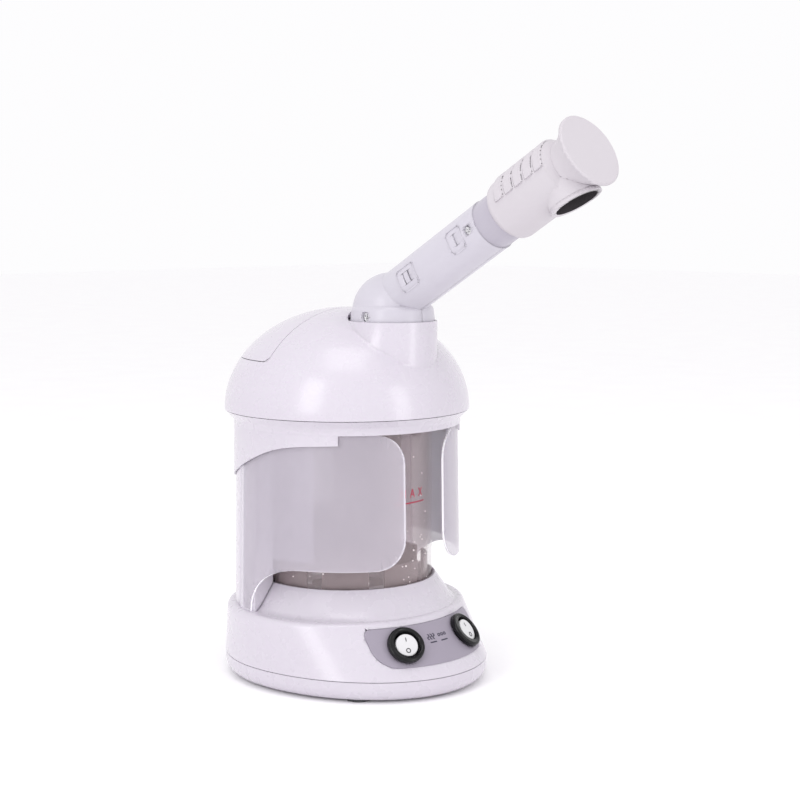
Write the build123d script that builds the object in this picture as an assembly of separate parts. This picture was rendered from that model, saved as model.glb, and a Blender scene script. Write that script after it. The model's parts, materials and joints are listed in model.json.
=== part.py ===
from build123d import *
import os
from math import cos, radians, sin

# Table-top facial steamer. Millimetres, +Z up, -Y is the front (control panel and arm side),
# +X is to the right of a person who faces the front.
# Origin: the centre of the base cover's flat underside, on the axis of the water jar.

# ---- driving dimensions ----
WALL = 2.4                  # moulded housing wall
GAP = 0.4                   # visible joint between two mouldings

BACK_R = 77.0               # base, rear half: a semicircle
FRONT_L = 95.5              # base, front half: a half ellipse that runs this far forwards
SEAM_Z = 12.4               # joint between base shell and base cover
COVER_ROUND = 8.0
SHOULDER_Z = 43.7           # top of the base body, foot of the jar collar
SHOULDER_BACK_R = 75.5
SHOULDER_FRONT_L = 68.5
SHOULDER_ROUND = 4.0
COLLAR_FOOT_R = 67.0
COLLAR_RIM_R = 55.4
COLLAR_RIM_Z = 59.9
FOOT_R = 7.0
FOOT_H = 1.2                # how far a foot pad stands below the cover
FOOT_RECESS = 1.0           # depth of the recess that it is stuck in
FOOT_SPOTS = [(50, 40), (-50, 40), (46, -58), (-46, -58)]
POST_R = 4.0
POST_SPOTS = [(46, 38), (-46, 38), (42, -40), (-42, -40)]

JAR_R = 53.0
JAR_WALL = 2.5
JAR_Z0 = 47.7
JAR_Z1 = 157.0
COLLAR_BORE_R = 53.4
SEAT_BORE_R = 38.0          # opening in the seat, under the heater plate

GUARD_R_LOW = 70.6          # the guard and the column are slightly wider at the foot
GUARD_R_TOP = 68.9
GUARD_LOW_Z = 48.0
GUARD_TOP_Z = 154.8
GUARD_EDGE_Z = 74.0         # lower edge of the guard at the front
GUARD_T = 1.5
GUARD_SLOT_HALF = 16.3      # half width of the open slot at the front
GUARD_CORNER = 18.0
GUARD_END = 112.0           # the guard's rear edge, degrees from the front
ARCH_Y = -30.0              # centre and half axes of the elliptical sweep down to the base
ARCH_Z = 44.0
ARCH_A = 42.5
ARCH_B = 30.0

COLUMN_EDGE = 98.0          # the column's front edges, degrees from the front
COLUMN_IN_R = 56.0
DOME_SCREW_R = 62.5         # radius of the circle that the dome's screws stand on
DOME_SCREW_AT = (60, 180, 300)
SKIRT_EDGE = 47.7           # the skirt's front ends, degrees from the front

DECK_Z0 = 159.0
DECK_Z1 = 162.0
RING_Z0 = 155.1
DOME_SEAM_Z = 164.2
DOME_A = 76.0               # dome: ellipsoid of revolution
DOME_B = 61.7
DOME_Z = 164.9
DOME_FLAT = 1.1             # degrees of arc left flat at the very top
LID_Y = -1.2                # front edge of the fill lid
LID_Z = 196.1               # lower edge of the fill lid
LID_HINGE_Y = 69.0
LID_HINGE_Z = 195.2
HINGE_PIN_R = 1.2

SWIVEL_Y = -40.3            # vertical axis of the arm's swivel
BOSS_R = 27.0
BOSS_BORE_R = 25.9
BOSS_RIM_Z = 220.1
BOSS_FLOOR_Z = 211.5
ELBOW_R = 25.5
DRUM_TOP_Z = 230.0          # the elbow's drum, with a rounded top edge
DRUM_TOP_R = 24.4
DRUM_ROUND = 4.0
HOOD_R = 23.4
HOOD_Y = -39.0
HOOD_Z = 225.5

ARM_START_Z = 231.5         # where the arm's axis leaves the swivel axis
ARM_RISE = 30.0             # degrees above horizontal
ARM_R = 15.5
ARM_WALL = 2.0
ARM_END = 93.0              # distances along the arm's axis
COLLAR_R = 15.0             # the neck's visible band
NECK_R = 13.6               # the spigot that the head turns on
NECK_END = 120.5
DUCT_R = 8.0
DUCT_WALL = 1.4
DUCT_FOOT_R = 13.0
VENT_FRAMES = [(31.3, 2), (75.4, 1)]    # place along the arm, number of slits
ARM_SCREW_AT = 86.5
ELBOW_SCREW = (-42.3, 223.2)            # (y, z)
SCREW_POST_R = 3.4
SCREW_HEAD_R = 2.6

HEAD_ROLL = 7.5             # degrees that the head is turned about the arm's axis
HEAD_START = 106.5
HEAD_R = 18.1
HEAD_BORE_R = 13.95
HEAD_BORE_END = 115.0
HEAD_TAPER_AT = 153.4
HEAD_NECK_AT = 157.0
HEAD_NECK_R = 14.4
HEAD_END = 170.6
DISK_END = 173.0
DISK_R = 21.4
OUTLET_AT = 149.5
OUTLET_R = 15.3
OUTLET_BORE_R = 12.5
OUTLET_FACE = 19.2
SPOUT_FROM = 6.0
RIB_COUNT = 5
RIB_PITCH = 8.0
RIB_START = 114.5
RIB_L = 6.9
RIB_H = 1.1
RIB_ARC = 156.0             # degrees round the head's upper side

PANEL_HALF_W = 44.0
PANEL_LOW_Z = 19.3
PANEL_HIGH_Z = 40.0
PANEL_LOW_ROUND = 10.0
PANEL_HIGH_ROUND = 4.5

SWITCH_X = 25.4
SWITCH_Y = -76.6
SWITCH_Z = 30.5
SWITCH_SPLAY = 20.3         # degrees that each switch faces outwards
SWITCH_RISE = 40.8          # degrees that the front slope leans back
BEZEL_R = 11.5
BEZEL_H = 3.0
WINDOW_R = 8.0
ROCKER_R = 7.0
ROCKER_REST = 7.0           # degrees: off, with the lower edge pressed in
SWITCH_BARREL_R = 9.8
PIVOT_DEPTH = 3.0
PIVOT_R = 1.0

FROM_FOOT = (Align.CENTER, Align.CENTER, Align.MIN)
parts = {}


def disc(radius, z0, z1, x=0.0, y=0.0):
    return Pos(x, y, z0) * Cylinder(radius, z1 - z0, align=FROM_FOOT)


def tube(r_out, r_in, z0, z1, x=0.0, y=0.0):
    return disc(r_out, z0, z1, x, y) - disc(r_in, z0, z1, x, y)


def block(x0, x1, y0, y1, z0, z1):
    return Pos((x0 + x1) / 2, (y0 + y1) / 2, (z0 + z1) / 2) * Box(x1 - x0, y1 - y0, z1 - z0)


def outline(points):
    """A closed (radius, height) profile, in the plane through the axis and +X."""
    return make_face(Polyline([(r, 0, z) for r, z in points], close=True))


def turned(points):
    return revolve(outline(points), Axis.Z)


def swept(points, rho0, rho1):
    """A profile turned from rho0 to rho1, in degrees from the front, positive towards +X."""
    return revolve(Rot(0, 0, rho0 - 90) * outline(points), Axis.Z, rho1 - rho0)


def both_sides(shape):
    return shape + mirror(shape, about=Plane.YZ)


def side_prism(edges, reach=90.0):
    """A closed outline in the YZ plane, drawn in (y, z), as a prism that spans the width."""
    face = make_face(edges)
    return extrude(Plane.YZ * face, reach, both=True)


def egg(back_r, front_l, z):
    rear = CenterArc((0, 0), back_r, 0, 180)
    front = EllipticalCenterArc((0, 0), back_r, front_l, 180, arc_size=180)
    return Pos(0, 0, z) * make_face([rear, front])


def guard_r(z):
    return GUARD_R_LOW + (GUARD_R_TOP - GUARD_R_LOW) * (z - GUARD_LOW_Z) / (GUARD_TOP_Z - GUARD_LOW_Z)


def point_at(radius, rho):
    return radius * sin(radians(rho)), -radius * cos(radians(rho))


# ---- base ----
def base_form(grow=0.0, z0=SEAM_Z, z1=SHOULDER_Z):
    low = egg(BACK_R + grow, FRONT_L + 1.3 * grow, z0)
    high = egg(SHOULDER_BACK_R + grow, SHOULDER_FRONT_L + 1.3 * grow, z1)
    return loft([low, high], ruled=True)


def panel_prism(grow=0.0):
    """The panel's outline, seen from the front, carried back as far as the jar's axis."""
    half_h = (PANEL_HIGH_Z - PANEL_LOW_Z) / 2 + grow
    sheet = Rectangle(2 * (PANEL_HALF_W + grow), 2 * half_h)
    low = [v for v in sheet.vertices() if v.Y < 0]
    sheet = fillet(low, PANEL_LOW_ROUND)
    high = [v for v in sheet.vertices() if v.Y > half_h - 0.01]
    sheet = fillet(high, PANEL_HIGH_ROUND)
    middle = (PANEL_LOW_Z + PANEL_HIGH_Z) / 2
    front = Plane(origin=(0, 0, middle), x_dir=(1, 0, 0), z_dir=(0, -1, 0))
    return extrude(front * sheet, FRONT_L + 10.0)


def switch_plane(side):
    splay = radians(SWITCH_SPLAY)
    rise = radians(SWITCH_RISE)
    return Plane(
        origin=(side * SWITCH_X, SWITCH_Y, SWITCH_Z),
        x_dir=(cos(splay), side * sin(splay), 0),
        z_dir=(side * sin(splay) * cos(rise), -cos(splay) * cos(rise), sin(rise)),
    )


SIDES = {"steam": -1, "ozone": 1}


def switch_holes(radius):
    holes = [switch_plane(s) * Cylinder(radius, 30) for s in SIDES.values()]
    return holes[0] + holes[1]


def make_base_shell():
    body = base_form()
    top = body.edges().group_by(Axis.Z)[-1]
    body = fillet(top, SHOULDER_ROUND)
    collar = turned([
        (45.0, SHOULDER_Z - 2.0),
        (COLLAR_FOOT_R + 1.6, SHOULDER_Z - 2.0),
        (COLLAR_FOOT_R + 0.4, SHOULDER_Z),
        (COLLAR_FOOT_R - 2.6, SHOULDER_Z + 2.6),
        (COLLAR_RIM_R + 0.9, COLLAR_RIM_Z - 1.6),
        (COLLAR_RIM_R - 0.4, COLLAR_RIM_Z),
        (45.0, COLLAR_RIM_Z),
    ])
    body = body + collar
    inside = loft([
        egg(BACK_R - WALL, FRONT_L - 1.3 * WALL, SEAM_Z - 1.0),
        egg(SHOULDER_BACK_R - WALL, SHOULDER_FRONT_L - 1.3 * WALL, SHOULDER_Z - WALL),
    ], ruled=True)
    body = body - inside
    body = body - turned([
        (56.0, SHOULDER_Z - WALL - 1.0),
        (63.6, SHOULDER_Z - WALL - 1.0),
        (63.6, SHOULDER_Z - WALL),
        (57.2, COLLAR_RIM_Z - 6.5),
        (56.0, COLLAR_RIM_Z - 6.5),
    ])
    body = body - disc(COLLAR_BORE_R, SHOULDER_Z, COLLAR_RIM_Z + 1)
    body = body - disc(SEAT_BORE_R, SHOULDER_Z - 5, SHOULDER_Z + 1)
    for x, y in POST_SPOTS:
        body = body + tube(POST_R, 1.65, SEAM_Z, SHOULDER_Z - WALL + 0.4, x, y)
    recess = (base_form(2.5) - base_form(-0.95)) & panel_prism(0.15)
    body = body - recess - switch_holes(SWITCH_BARREL_R + 0.15)
    body = body - Pos(0, BACK_R, 24) * Rot(90, 0, 0) * Cylinder(6.1, 12)
    return body


def make_base_cover():
    cover = extrude(egg(BACK_R, FRONT_L, 0), SEAM_Z - GAP)
    cover = fillet(cover.edges().group_by(Axis.Z)[0], COVER_ROUND)
    inner = extrude(egg(BACK_R - WALL, FRONT_L - WALL, 0), SEAM_Z)
    inner = fillet(inner.edges().group_by(Axis.Z)[0], COVER_ROUND - WALL)
    cover = cover - Pos(0, 0, WALL) * inner
    for x, y in FOOT_SPOTS:
        cover = cover + disc(FOOT_R + 2.0, FOOT_RECESS, FOOT_RECESS + WALL, x, y)
        cover = cover - disc(FOOT_R + 0.2, -1, FOOT_RECESS, x, y)
    for x, y in POST_SPOTS:
        cover = cover + disc(POST_R + 1.0, FOOT_RECESS, SEAM_Z - GAP, x, y)
        cover = cover - disc(1.9, -1, SEAM_Z, x, y) - disc(3.4, -1, 5.0, x, y)
    for i in (-3, -2, -1, 1, 2, 3):
        cover = cover - block(i * 7 - 1.25, i * 7 + 1.25, 14, 34, -1, 5)
    return cover


def make_control_panel():
    sheet = (base_form(0.35) - base_form(-0.9)) & panel_prism()
    return sheet - switch_holes(SWITCH_BARREL_R + 0.1)


def make_cord_gland():
    gland = Cylinder(8.0, 2.0) + Pos(0, 0, -5) * Cylinder(5.95, 8.0) - Cylinder(3.3, 40)
    return Pos(0, BACK_R + 0.9, 24) * Rot(-90, 0, 0) * gland


# ---- switches: body, terminals and rocker in the switch's own plane ----
def make_switch_body():
    bezel = Pos(0, 0, BEZEL_H / 2) * Cylinder(BEZEL_R, BEZEL_H)
    bezel = fillet(bezel.edges().group_by(Axis.Z)[-1], 1.3)
    barrel = Pos(0, 0, -8.0) * Cylinder(SWITCH_BARREL_R, 16.0)
    well = Pos(0, 0, -1.0) * Cylinder(WINDOW_R, 12.0)
    pivot = Pos(0, 0, -PIVOT_DEPTH) * Rot(0, 90, 0) * Cylinder(PIVOT_R + 0.06, 17.6)
    return bezel + barrel - well - pivot


def make_terminals():
    tabs = [Pos(x, 0, -20.0) * Box(0.8, 4.8, 8.0) for x in (-5.0, 5.0)]
    return tabs[0] + tabs[1]


def make_rocker():
    cap = Pos(0, 0, -1.4) * Cylinder(ROCKER_R, 8.0)
    rim = cap.edges().filter_by(GeomType.CIRCLE).group_by(Axis.Z)[-1]
    cap = fillet(rim, 0.7)
    stub = Pos(0, 0, -PIVOT_DEPTH) * Rot(0, 90, 0) * Cylinder(PIVOT_R, 17.0)
    rocker = cap + stub
    turn = Axis((0, 0, -PIVOT_DEPTH), (1, 0, 0))
    return rocker.rotate(turn, ROCKER_REST)


# ---- jar, heater and what stands in the water ----
def make_jar():
    return tube(JAR_R, JAR_R - JAR_WALL, JAR_Z0, JAR_Z1)


def make_heater_plate():
    plate = disc(52.6, SHOULDER_Z, SHOULDER_Z + 1.5)
    for x in (-9.0, 9.0):
        plate = plate - disc(3.3, SHOULDER_Z - 1, SHOULDER_Z + 2, x, 28.6)
    return plate


def make_heating_element():
    ring = Pos(0, 0, 52.5) * Torus(30.0, 3.2)
    for x in (-9.0, 9.0):
        ring = ring + disc(3.2, 34.0, 52.5, x, 28.6)
    return ring


def make_boil_guard():
    ring = tube(50.0, 48.0, SHOULDER_Z + 1.5, 71.8)
    for i in range(8):
        slot = block(-5.2, 5.2, -55, -44, 53.0, 80)
        ring = ring - Rot(0, 0, 22.5 + 45 * i) * slot
    return ring


def make_thermostat():
    return disc(8.0, SHOULDER_Z - 8.0, SHOULDER_Z) + block(-12, 12, -3, 3, 34.5, 36.5)


# ---- column, guard and skirt ----
def make_rear_column():
    column = swept([
        (guard_r(SHOULDER_Z), SHOULDER_Z + 0.05),
        (guard_r(DECK_Z0), DECK_Z0),
        (COLUMN_IN_R, DECK_Z0),
        (COLUMN_IN_R, COLLAR_RIM_Z + 0.6),
        (COLLAR_FOOT_R - 2.4, SHOULDER_Z + 3.0),
        (COLLAR_FOOT_R + 0.6, SHOULDER_Z + 0.05),
    ], COLUMN_EDGE, 360 - COLUMN_EDGE)
    hollow = swept([
        (67.8, 52.0),
        (66.4, DECK_Z0 + 1),
        (COLUMN_IN_R + 2.0, DECK_Z0 + 1),
        (COLUMN_IN_R + 2.0, COLLAR_RIM_Z + 4.0),
        (64.6, 52.0),
    ], COLUMN_EDGE + 2, 358 - COLUMN_EDGE)
    rebate = swept([
        (guard_r(SHOULDER_Z) - GUARD_T - 0.1, SHOULDER_Z - 1),
        (guard_r(DECK_Z0 + 1) - GUARD_T - 0.1, DECK_Z0 + 1),
        (80, DECK_Z0 + 1),
        (80, SHOULDER_Z - 1),
    ], COLUMN_EDGE - 2, GUARD_END + 0.3)
    return column - hollow - both_sides(rebate)


def make_guard(side):
    shell = swept([
        (guard_r(SHOULDER_Z) - GUARD_T, SHOULDER_Z + 0.1),
        (guard_r(SHOULDER_Z), SHOULDER_Z + 0.1),
        (guard_r(GUARD_TOP_Z), GUARD_TOP_Z),
        (guard_r(GUARD_TOP_Z) - GUARD_T, GUARD_TOP_Z),
    ], 5.0, GUARD_END)
    edge = EllipticalCenterArc((ARCH_Y, ARCH_Z), ARCH_A, ARCH_B, 0, arc_size=90)
    below = side_prism([
        edge,
        Line((ARCH_Y, GUARD_EDGE_Z), (-90, GUARD_EDGE_Z)),
        Line((-90, GUARD_EDGE_Z), (-90, 20)),
        Line((-90, 20), (ARCH_Y + ARCH_A, 20)),
        Line((ARCH_Y + ARCH_A, 20), (ARCH_Y + ARCH_A, ARCH_Z)),
    ])
    shell = shell - below
    shell = shell - block(-1, GUARD_SLOT_HALF, -90, 0, 0, 200)
    for z, way in ((GUARD_EDGE_Z, 1), (GUARD_TOP_Z, -1)):
        centre_x = GUARD_SLOT_HALF + GUARD_CORNER
        centre_z = z + way * GUARD_CORNER
        square = block(
            GUARD_SLOT_HALF - 1, centre_x, -90, -30,
            min(z - way, centre_z), max(z - way, centre_z),
        )
        round_bar = Pos(centre_x, -60, centre_z) * Rot(90, 0, 0) * Cylinder(GUARD_CORNER, 80)
        shell = shell - (square - round_bar)
    return shell if side > 0 else mirror(shell, about=Plane.YZ)


def make_guard_liners():
    liner = swept([
        (guard_r(78.3) - 4.2, 78.3),
        (guard_r(78.3) - 3.0, 78.3),
        (guard_r(150.0) - 3.0, 150.0),
        (guard_r(150.0) - 4.2, 150.0),
    ], 61.0, COLUMN_EDGE - 0.6)
    return both_sides(liner)


def make_dome_ring():
    ring = turned([
        (69.2, RING_Z0),
        (70.4, RING_Z0),
        (70.4, 158.0),
        (72.0, 160.0),
        (75.6, DOME_SEAM_Z - GAP),
        (73.0, DOME_SEAM_Z - GAP),
        (71.0, DECK_Z1),
        (56.6, DECK_Z1),
        (56.6, DECK_Z0 + 0.05),
        (69.2, DECK_Z0 + 0.05),
    ])
    skirt = swept([
        (guard_r(110.0) + 0.2, 110.0),
        (guard_r(110.0) + 1.4, 110.0),
        (guard_r(157.0) + 1.4, 157.0),
        (guard_r(157.0) + 0.3, 157.0),
    ], SKIRT_EDGE, 360 - SKIRT_EDGE)
    edge = Spline((-60, 149.6), (-34, 148.5), (-14.8, 146.1), (5.6, 139.4), (49.5, 121.6), (90, 116.0))
    below = side_prism([
        edge,
        Line((90, 116.0), (90, 100)),
        Line((90, 100), (-60, 100)),
        Line((-60, 100), (-60, 149.6)),
    ])
    ring = ring + (skirt - below)
    for rho in DOME_SCREW_AT:
        x, y = point_at(DOME_SCREW_R, rho)
        ring = ring - disc(1.8, DECK_Z0 - 1, DECK_Z1 + 1, x, y)
    return ring


# ---- dome, lid and fill tray ----
def dome_solid(inset=0.0, low=DOME_SEAM_Z):
    a = DOME_A - inset
    b = DOME_B - inset
    arc = Plane.XZ * EllipticalCenterArc((0, DOME_Z), a, b, 0, arc_size=90 - DOME_FLAT)
    flat_r = a * sin(radians(DOME_FLAT))
    flat_z = DOME_Z + b * cos(radians(DOME_FLAT))
    rest = Polyline([(flat_r, 0, flat_z), (0, 0, flat_z), (0, 0, low), (a, 0, low), (a, 0, DOME_Z)])
    return revolve(make_face([arc, rest]), Axis.Z)


def lid_prism(grow=0.0):
    y0 = LID_Y - grow
    z0 = LID_Z - grow
    corner = 5.0 + grow
    return side_prism([
        RadiusArc((y0, z0 + corner), (y0 + corner, z0), -corner),
        Line((y0 + corner, z0), (90, z0)),
        Line((90, z0), (90, 260)),
        Line((90, 260), (y0, 260)),
        Line((y0, 260), (y0, z0 + corner)),
    ])


def knuckle(x0, x1, radius=2.7):
    return Pos((x0 + x1) / 2, LID_HINGE_Y, LID_HINGE_Z) * Rot(0, 90, 0) * Cylinder(radius, x1 - x0)


def make_dome_shell():
    shell = dome_solid() - dome_solid(WALL, DOME_SEAM_Z - 1)
    boss = disc(BOSS_R, BOSS_FLOOR_Z - WALL, BOSS_RIM_Z, 0, SWIVEL_Y)
    skin_under_boss = dome_solid(WALL, DOME_SEAM_Z - 1)
    boss_low = disc(BOSS_R, 190, BOSS_RIM_Z, 0, SWIVEL_Y) - skin_under_boss
    shell = shell + boss + boss_low
    shell = shell - disc(BOSS_BORE_R, BOSS_FLOOR_Z, 260, 0, SWIVEL_Y)
    shell = shell - disc(BOSS_R, BOSS_RIM_Z, 260, 0, SWIVEL_Y)
    shell = shell - disc(15.0, BOSS_FLOOR_Z - 10, 260, 0, SWIVEL_Y)
    shell = shell - lid_prism(0)
    for rho in DOME_SCREW_AT:
        x, y = point_at(DOME_SCREW_R, rho)
        rib = Rot(0, 0, rho) * block(-1, 1, -75, -DOME_SCREW_R, DECK_Z1 + 4, 182)
        post = tube(3.4, 1.35, DECK_Z1 + 0.05, 182, x, y)
        post = post + (rib - disc(1.35, 150, 190, x, y))
        shell = shell + (post & dome_solid(0.5, DECK_Z1))
    web = block(8.4, 13.6, 62.0, LID_HINGE_Y, LID_HINGE_Z - 6.5, LID_HINGE_Z)
    web = web & side_prism([
        Polyline([(62, 188), (66.5, 188.5), (71.7, 195.2), (67, 195.4), (62, 195.2)], close=True),
    ])
    hinge = both_sides(web + knuckle(8.4, 13.6)) - dome_solid(WALL, DOME_SEAM_Z - 1)
    shell = shell + hinge
    shell = shell - knuckle(-8.2, 8.2, 3.1)
    return shell - knuckle(-20, 20, HINGE_PIN_R + 0.02)


def make_fill_lid():
    lid = (dome_solid() & lid_prism(-GAP)) - dome_solid(WALL, DOME_SEAM_Z - 1)
    clear = both_sides(knuckle(8.0, 14.0, 3.1))
    web = block(-7.8, 7.8, 63.0, LID_HINGE_Y, LID_HINGE_Z + 0.2, LID_HINGE_Z + 4.0)
    web = web & side_prism([
        Polyline([(63, 196.5), (66.5, 196.5), (67.3, 195.3), (71.6, 195.4), (65, 200), (63, 200)], close=True),
    ])
    lid = lid - clear + web + knuckle(-7.8, 7.8)
    return lid - knuckle(-20, 20, HINGE_PIN_R + 0.06)


def make_fill_tray():
    room = dome_solid(WALL + 0.4, 180) & block(-80, 80, -5.4, 80, 188.5, 260)
    hollow = dome_solid(WALL + 2.4, 180) & block(-80, 80, -3.4, 80, 190.5, 260)
    tray = room - hollow
    tray = tray - block(-80, 80, -1.6, 80, LID_Z - 1.2, 260)
    tray = tray - disc(10.0, 180, 200, 0, 28)
    spout = tube(12.0, 10.0, DECK_Z1 + 4.0, 188.5, 0, 28)
    return tray + spout


# ---- jar cap, chute and steam riser ----
def make_jar_cap():
    cap = disc(56.2, DECK_Z0, DECK_Z1)
    cap = cap + disc(14.2, DECK_Z1, DECK_Z1 + 4.0, 0, 28) - disc(10.0, 150, 170, 0, 28)
    return cap - disc(8.1, 150, 170, 0, SWIVEL_Y)


def make_fill_chute():
    chute = tube(12.0, 10.4, 98.0, DECK_Z0, 0, 28)
    chute = chute - block(-20, 20, 0, 26, 90, 150)
    return chute - Pos(0, 40, 92) * Rot(30, 0, 0) * Box(60, 60, 14)


def make_steam_riser():
    riser = tube(8.0, 6.6, DECK_Z0, BOSS_FLOOR_Z + 6.0, 0, SWIVEL_Y)
    return riser + tube(11.0, 8.0, DECK_Z1, DECK_Z1 + 2.0, 0, SWIVEL_Y)


def make_swivel_bush():
    bush = tube(14.9, 8.1, BOSS_FLOOR_Z - 2.0, BOSS_FLOOR_Z + 0.2, 0, SWIVEL_Y)
    return bush + tube(17.0, 14.9, BOSS_FLOOR_Z, BOSS_FLOOR_Z + 0.2, 0, SWIVEL_Y)


def make_lamp_holder():
    holder = block(18, 34, -30, -14, DECK_Z1, DECK_Z1 + 10)
    return holder - disc(4.2, DECK_Z1 + 4, DECK_Z1 + 11, 26, -22)


def make_uv_lamp():
    glass = disc(4.0, DECK_Z1 + 4, DECK_Z1 + 30, 26, -22)
    return fillet(glass.edges().group_by(Axis.Z)[-1], 3.0)


def make_circuit_board():
    board = block(-28, 28, 44, 66, 16.0, 17.6)
    coil = Pos(-12, 55, 22.6) * Cylinder(7, 10)
    cap = Pos(12, 55, 21.6) * Cylinder(4, 8)
    return board + coil + cap


# ---- arm ----
arm_plane = Plane(
    origin=(0, SWIVEL_Y, ARM_START_Z),
    x_dir=(1, 0, 0),
    z_dir=(0, -cos(radians(ARM_RISE)), sin(radians(ARM_RISE))),
)


def along_arm(radius, s0, s1):
    return arm_plane * (Pos(0, 0, s0) * Cylinder(radius, s1 - s0, align=FROM_FOOT))


def elbow_form(inset):
    hood = Pos(0, HOOD_Y, HOOD_Z) * Sphere(HOOD_R - inset)
    hood = hood - block(-40, 40, -90, 20, 180, HOOD_Z - 0.01)
    skirt_top = BOSS_RIM_Z + 0.8
    skirt = disc(ELBOW_R - inset, BOSS_FLOOR_Z + 0.5, skirt_top, 0, SWIVEL_Y)
    drum = Solid.make_cone(ELBOW_R - inset, DRUM_TOP_R - inset, DRUM_TOP_Z - inset - skirt_top)
    drum = fillet(drum.edges().filter_by(GeomType.CIRCLE).group_by(Axis.Z)[-1], DRUM_ROUND)
    top = Pos(0, SWIVEL_Y, skirt_top) * drum
    return skirt + top + hood + along_arm(ARM_R - inset, 0, ARM_END)


def vent_frame(at, slits):
    """A raised frame on the +X side of the arm, with a slit or two through the wall."""
    side = Plane(arm_plane.from_local_coords((0, 0, at)), x_dir=arm_plane.z_dir, z_dir=(1, 0, 0))
    plate = RectangleRounded(9.0 + 3.4 * slits, 15.0, 3.0)
    frame = extrude(side * (plate - RectangleRounded(7.4 + 3.4 * slits, 13.4, 2.2)), 30)
    frame = frame & (along_arm(ARM_R + 0.45, at - 15, at + 15) - along_arm(ARM_R - 0.5, at - 15, at + 15))
    cuts = None
    for i in range(slits):
        shift = (i - (slits - 1) / 2) * 4.6
        cut = extrude(side * (Pos(shift, 0) * RectangleRounded(1.1, 7.4, 0.5)), 30)
        cuts = cut if cuts is None else cuts + cut
    return frame, cuts


def cross_bar(y, z, radius, x0, x1):
    return Pos((x0 + x1) / 2, y, z) * Rot(0, 90, 0) * Cylinder(radius, x1 - x0)


screw_spot = arm_plane.from_local_coords((0, 0, ARM_SCREW_AT))
# (y, z), inner end of the post, seat of the screw's head, all on the +X side
ARM_SCREWS = [
    ((screw_spot.Y, screw_spot.Z), 8.4, ARM_R - 2.6),
    (ELBOW_SCREW, 14.0, ELBOW_R - 3.1),
]


def make_arm_half(side):
    shell = elbow_form(0) - elbow_form(ARM_WALL)
    shell = shell - disc(ELBOW_R - ARM_WALL - 2, 180, BOSS_FLOOR_Z + 4, 0, SWIVEL_Y)
    shell = shell - along_arm(ARM_R - ARM_WALL, ARM_END - 10, ARM_END + 5)
    half = shell & block(0.05, 60, -150, 40, 180, 330)
    for at, slits in VENT_FRAMES:
        frame, cuts = vent_frame(at, slits)
        half = half + frame - cuts
    for spot, post_end, seat in ARM_SCREWS:
        half = half + cross_bar(*spot, SCREW_POST_R, post_end, seat + 1.0)
        half = half - cross_bar(*spot, SCREW_HEAD_R + 0.3, seat, 40)
        half = half - cross_bar(*spot, 1.2, post_end - 1, 40)
    return half if side > 0 else mirror(half, about=Plane.YZ)


def make_arm_screws():
    screws = []
    for spot, post_end, seat in ARM_SCREWS:
        head = cross_bar(*spot, SCREW_HEAD_R, seat + 0.05, seat + 1.4)
        screw = head + cross_bar(*spot, 1.1, post_end + 0.2, seat + 0.05)
        screws += [screw, mirror(screw, about=Plane.YZ)]
    return Compound([solid for screw in screws for solid in screw.solids()])


def make_arm_neck():
    neck = along_arm(ARM_R - ARM_WALL - 0.05, ARM_END - 11, ARM_END + 1)
    neck = neck + along_arm(COLLAR_R, ARM_END + 0.05, HEAD_START - 0.4)
    neck = neck + along_arm(NECK_R, ARM_END, NECK_END)
    neck = neck - cross_bar(screw_spot.Y, screw_spot.Z, SCREW_POST_R + 0.2, -20, 20)
    return neck - along_arm(NECK_R - 1.8, 0, NECK_END + 5)


def make_steam_duct():
    bend_z = ARM_START_Z - 4
    foot = disc(DUCT_FOOT_R, BOSS_FLOOR_Z + 0.8, bend_z, 0, SWIVEL_Y)
    bend = Pos(0, SWIVEL_Y, bend_z) * Sphere(DUCT_R + DUCT_WALL)
    outer = foot + bend + along_arm(DUCT_R, 0, NECK_END - 8)
    inner = disc(DUCT_R, BOSS_FLOOR_Z, bend_z, 0, SWIVEL_Y)
    bend_in = Pos(0, SWIVEL_Y, bend_z) * Sphere(DUCT_R)
    return outer - inner - bend_in - along_arm(DUCT_R - DUCT_WALL, 0, NECK_END)


def make_duct_collar():
    return along_arm(NECK_R - 1.85, ARM_END + 1, ARM_END + 5) - along_arm(DUCT_R + 0.05, 0, NECK_END)


def make_head_clip():
    clip = along_arm(NECK_R + 1.3, HEAD_BORE_END + 1.0, HEAD_BORE_END + 2.4)
    return clip - along_arm(NECK_R + 0.02, 0, NECK_END)


# ---- head ----
head_plane = arm_plane * Rot(0, 0, HEAD_ROLL)


def head_turned(points):
    """A (radius, distance along the arm) profile turned about the arm's axis."""
    face = make_face(Polyline([(r, 0, s) for r, s in points], close=True))
    return head_plane * revolve(face, Axis.Z)


def across_head(radius, r0, r1, at=OUTLET_AT):
    """A cylinder from r0 to r1 off the arm's axis, pointing out through the outlet."""
    bar = Pos(0, -(r0 + r1) / 2, at) * Rot(90, 0, 0) * Cylinder(radius, r1 - r0)
    return head_plane * bar


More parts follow.
